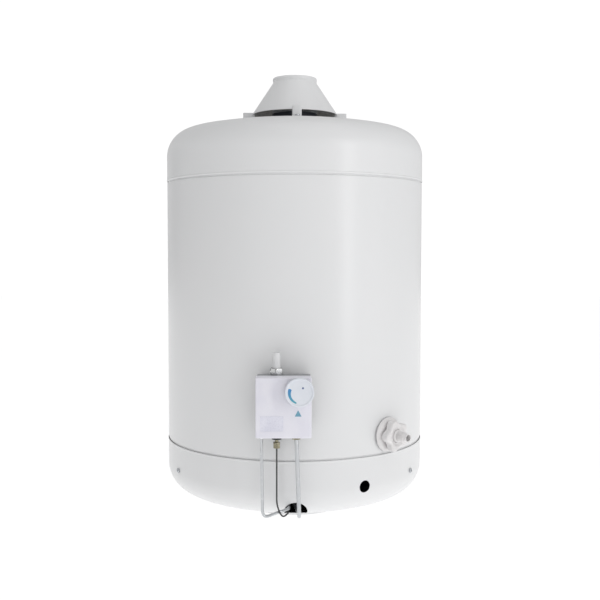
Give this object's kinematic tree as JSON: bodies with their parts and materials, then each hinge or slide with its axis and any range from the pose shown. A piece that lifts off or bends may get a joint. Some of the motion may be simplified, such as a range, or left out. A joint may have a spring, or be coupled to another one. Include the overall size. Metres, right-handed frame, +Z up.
{
  "type": "tank water heater",
  "caption": "Wall-hung gas storage water heater: white cylinder with dished covers, flue draft hood, gas control with knob and drain valve.",
  "frame": {"origin": "middle of the upper wall bracket's back face, where it meets the wall", "axes": "+Z up along the tank, +Y into the wall, so the control faces -Y; +X to the right seen from the front"},
  "size_m": [0.4568, 0.5553, 0.7905],
  "materials": {
    "white_enamel": "gloss",
    "galvanised": "satin",
    "tank_steel": "satin",
    "wool": "matte",
    "aluminium": "satin",
    "brass": "satin",
    "copper": "satin",
    "dark_casting": "matte",
    "white_plastic": "gloss",
    "drain_plastic": "satin",
    "dark_lead": "matte",
    "zinc_steel": "satin",
    "magnesium": "matte"
  },
  "bodies": {
    "heater": {"outer_jacket": "white_enamel", "top_cover": "white_enamel", "bottom_cover": "white_enamel", "bottom_ring": "white_enamel", "flue_draft_hood": "white_enamel", "gas_inlet_tube": "white_enamel", "flue_baffle": "galvanised", "cold_water_nipple": "galvanised", "hot_water_nipple": "galvanised", "upper_wall_bracket": "galvanised", "lower_wall_bracket": "galvanised", "combustion_chamber": "galvanised", "burner_support_bar": "galvanised", "pilot_bracket": "galvanised", "tank_shell": "tank_steel", "tank_top_head": "tank_steel", "tank_bottom_head": "tank_steel", "flue_tube": "tank_steel", "insulation_blanket": "wool", "top_insulation": "wool", "main_gas_tube": "aluminium", "pilot_tube": "aluminium", "anode_plug": "brass", "burner_injector": "brass", "gas_inlet_nut": "brass", "main_gas_tube_nut": "brass", "pilot_tube_nut": "brass", "thermocouple_nut": "brass", "thermocouple_probe": "copper", "thermostat_stem": "copper", "burner_head": "dark_casting", "burner_mixer_tube": "dark_casting", "gas_valve_body": "dark_casting", "valve_cover": "white_plastic", "hot_water_standpipe": "white_plastic", "cold_inlet_deflector": "white_plastic", "drain_valve_body": "drain_plastic", "drain_rosette": "drain_plastic", "thermocouple_lead": "dark_lead", "knob_spring": "zinc_steel", "pilot_burner": "zinc_steel", "cover_screw_1": "zinc_steel", "cover_screw_2": "zinc_steel", "cover_screw_3": "zinc_steel", "hood_screw_1": "zinc_steel", "hood_screw_2": "zinc_steel", "hood_screw_3": "zinc_steel", "hood_screw_4": "zinc_steel", "upper_bracket_bolt_left": "zinc_steel", "upper_bracket_bolt_right": "zinc_steel", "lower_bracket_bolt_left": "zinc_steel", "lower_bracket_bolt_right": "zinc_steel", "anode_rod": "magnesium"},
    "shaft": {"control_shaft": "zinc_steel"},
    "knob": {"control_knob": "white_plastic"},
    "drain_handle": {"drain_handle": "drain_plastic"},
    "drain_plunger": {"drain_plunger": "drain_plastic"}
  },
  "joints": [
    {"name": "control_turn", "type": "hinge", "parent": "heater", "child": "shaft", "pos_m": [0.0075, -0.5375, -0.2721], "axis": [0, -1, 0], "range_deg": [-225, 45]},
    {"name": "knob_press", "type": "slide", "parent": "shaft", "child": "knob", "axis": [0, 1, 0], "range_m": [0, 0.0045], "stiffness_N_per_m": 1500, "deforming": ["knob_spring"]},
    {"name": "drain_turn", "type": "hinge", "parent": "heater", "child": "drain_handle", "pos_m": [0.15223, -0.41907, -0.3615], "axis": [0.6691, -0.7431, 0], "range_deg": [-540, 0]},
    {"name": "drain_lift", "type": "slide", "parent": "heater", "child": "drain_plunger", "axis": [0.6691, -0.7431, 0], "range_m": [0, 0.0045]}
  ],
  "couplings": [
    {"joint": "drain_lift", "follows": "drain_turn", "m_per_rad": -0.00047746}
  ]
}
